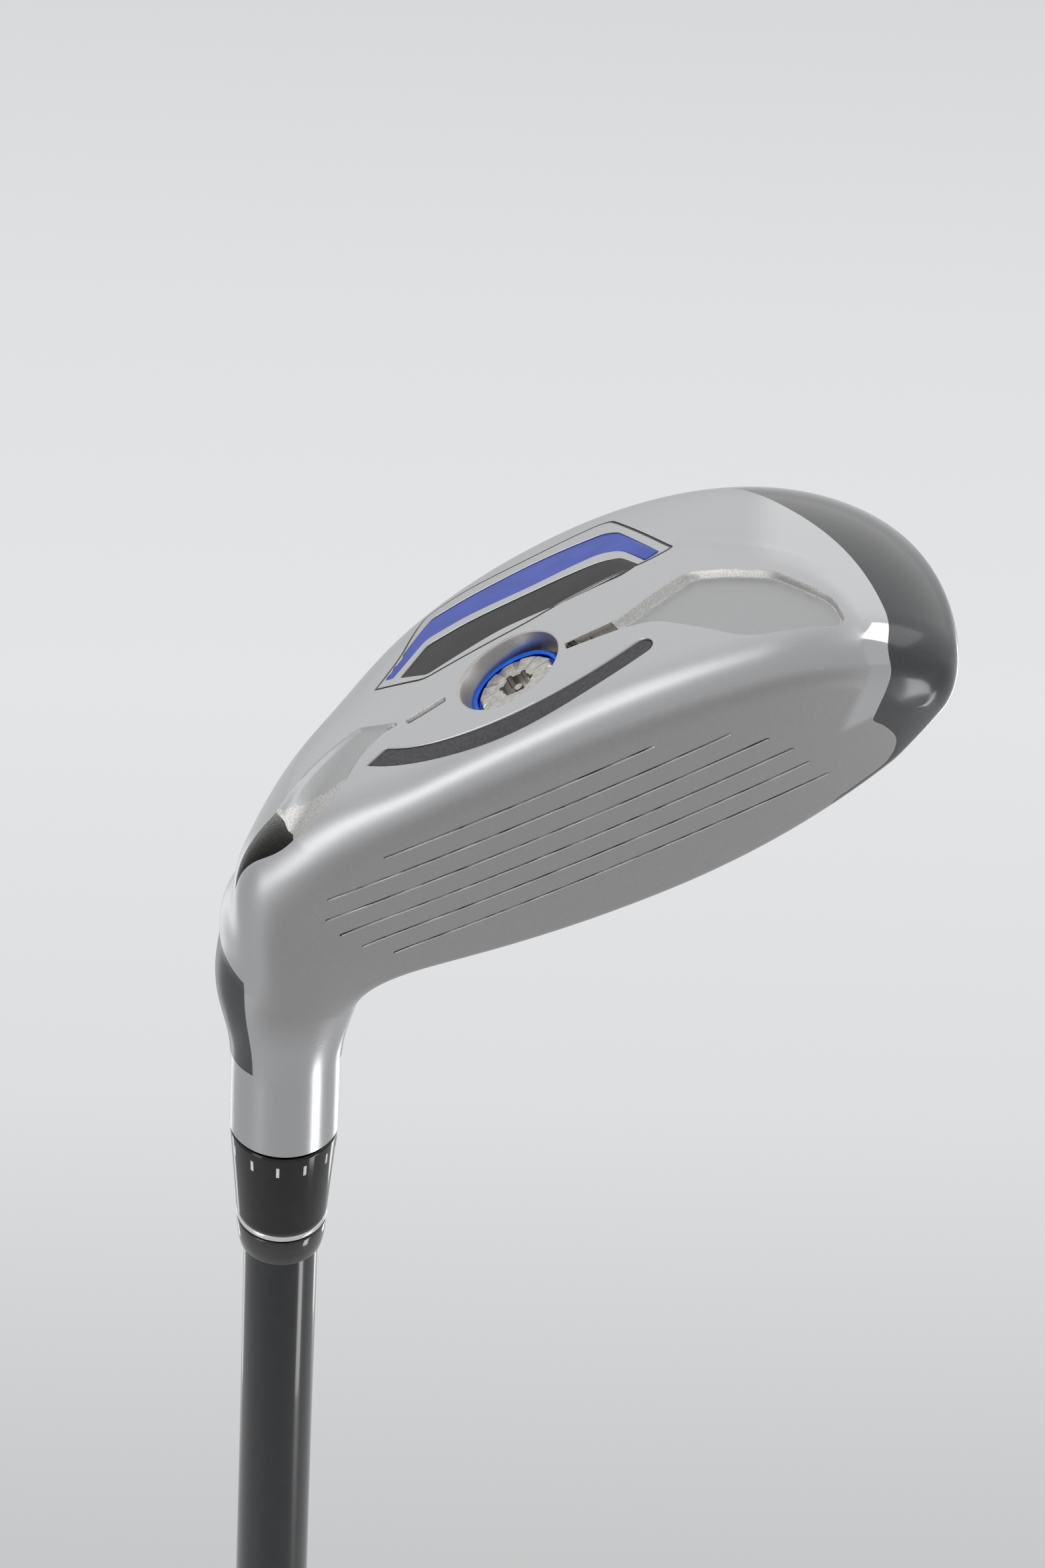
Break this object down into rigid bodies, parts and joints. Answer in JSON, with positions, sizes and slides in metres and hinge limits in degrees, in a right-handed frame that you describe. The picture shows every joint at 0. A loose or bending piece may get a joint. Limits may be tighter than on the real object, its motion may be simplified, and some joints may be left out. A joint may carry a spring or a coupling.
{
  "type": "hybrid golf club",
  "caption": "Hybrid golf club: hollow steel head with slotted sole and screw-in sole weight, turnable loft sleeve held by a heel screw, tapered shaft and rubber grip.",
  "frame": {"origin": "centre of the flat butt face of the grip", "axes": "+Z along the shaft from the grip to the head, -Y the way the striking face looks, +X towards the toe"},
  "size_m": [0.0892, 0.0553, 1.0634],
  "materials": {
    "grip_rubber": "moulded matte",
    "cap_rubber": "moulded satin",
    "tape": "paper tape",
    "shaft_gloss": "gloss painted composite",
    "nylon": "moulded",
    "ferrule_gloss": "polished",
    "trim_silver": "bright turned",
    "black_anodised": "gloss black anodised",
    "screw_steel": "plain turned",
    "sole_steel": "satin blasted and brushed",
    "crown_paint": "gloss gunmetal paint",
    "face_steel": "brushed along the score lines",
    "slot_polymer": "matte charcoal",
    "blue_enamel": "enamel",
    "black_enamel": "enamel",
    "blue_anodised": "bright blue anodised",
    "weight_steel": "turned and fluted"
  },
  "bodies": {
    "shaft_assembly": {"grip_sleeve": "grip_rubber", "grip_cap": "cap_rubber", "grip_tape": "tape", "shaft": "shaft_gloss", "shaft_tip_plug": "nylon", "ferrule": "ferrule_gloss", "sleeve_trim_ring": "trim_silver", "loft_sleeve": "black_anodised"},
    "screw_seat": {"hosel_washer": "screw_steel", "screw_retaining_ring": "nylon"},
    "hosel_screw": {"hosel_screw": "screw_steel"},
    "head": {"head_body": "sole_steel", "crown_plate": "crown_paint", "face_plate": "face_steel", "slot_filler": "slot_polymer", "badge_band": "blue_enamel", "badge_panel": "black_enamel"},
    "weight_collar": {"weight_collar": "blue_anodised"},
    "weight_screw": {"weight_screw": "weight_steel"}
  },
  "joints": [
    {"name": "head_release", "type": "slide", "parent": "shaft_assembly", "child": "screw_seat", "axis": [0, 0.0262, 0.9997], "range_m": [0, 0.01]},
    {"name": "hosel_screw_turn", "type": "hinge", "parent": "screw_seat", "child": "hosel_screw", "pos_m": [0, 0, 0.985], "axis": [0, 0.0262, 0.9997], "range_deg": [0, 4500]},
    {"name": "loft_setting", "type": "hinge", "parent": "screw_seat", "child": "head", "pos_m": [0, 0, 0.985], "axis": [0, 0.0262, 0.9997], "continuous": true},
    {"name": "weight_release", "type": "slide", "parent": "head", "child": "weight_collar", "axis": [-0.5138, 0.0921, 0.853], "range_m": [0, 0.008]},
    {"name": "weight_screw_turn", "type": "hinge", "parent": "weight_collar", "child": "weight_screw", "pos_m": [0.02397, -0.00042, 1.04911], "axis": [-0.5138, 0.0921, 0.853], "range_deg": [0, 2880]}
  ],
  "couplings": [
    {"joint": "hosel_screw_turn", "follows": "head_release", "rad_per_m": 7854},
    {"joint": "weight_screw_turn", "follows": "weight_release", "rad_per_m": 6283.2}
  ]
}
